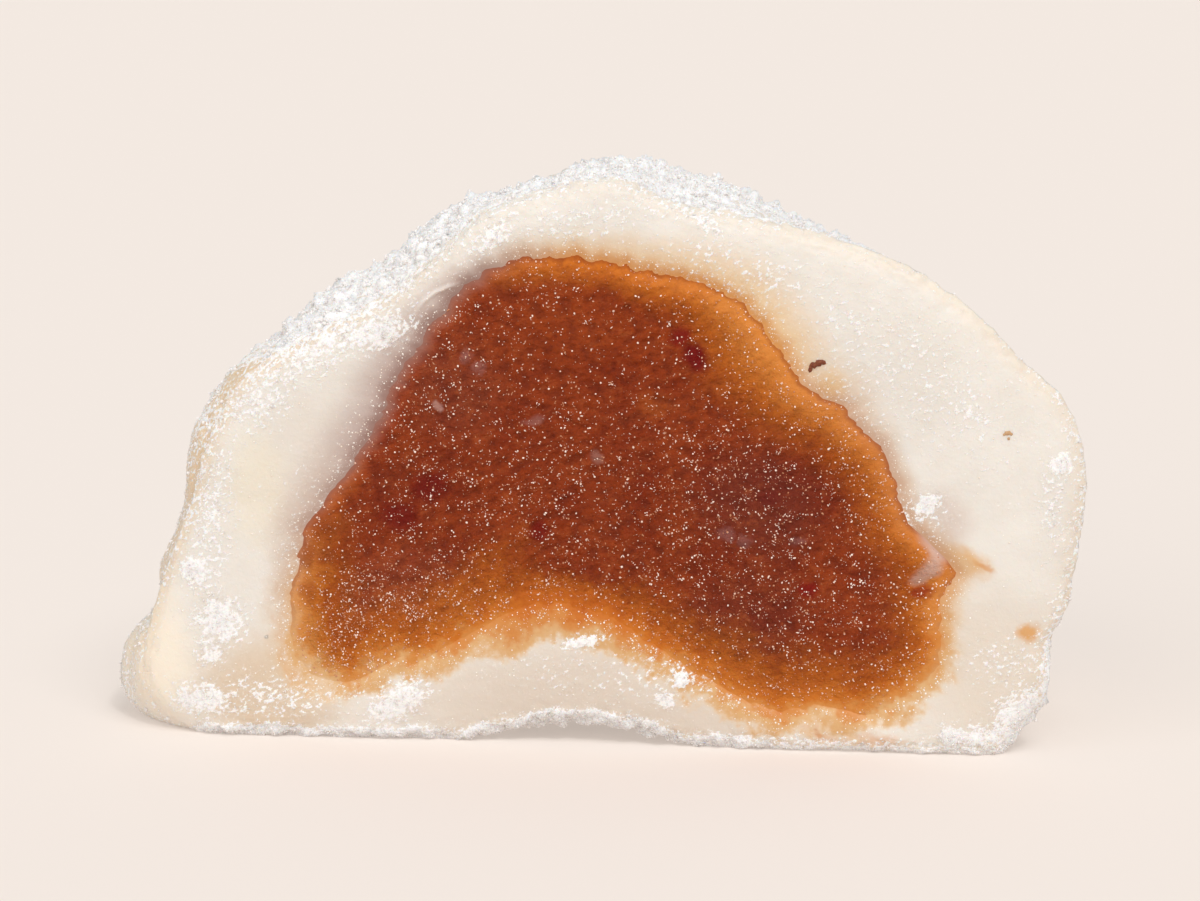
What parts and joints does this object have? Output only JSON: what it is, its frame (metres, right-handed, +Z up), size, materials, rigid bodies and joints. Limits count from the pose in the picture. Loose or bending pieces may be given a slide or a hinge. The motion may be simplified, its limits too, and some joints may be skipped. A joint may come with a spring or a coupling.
{
  "type": "mochi rice cake half",
  "caption": "Round rice cake cut in half: soft white dough, flat underneath, round a core of sweet bean paste.",
  "frame": {"origin": "on the surface the cake stands on, under the middle of its box", "axes": "+X along the cut to the right as seen from in front of it, -Y out of the cut, +Z up"},
  "size_m": [0.0568, 0.0264, 0.0336],
  "materials": {
    "rice_dough": "soft translucent rice dough, warm white, dusted with starch outside",
    "bean_paste": "moist smooth bean paste, reddish brown, glistening with fine wet points"
  },
  "bodies": {
    "root": {"rice_dough": "rice_dough", "bean_paste": "bean_paste"}
  },
  "joints": []
}
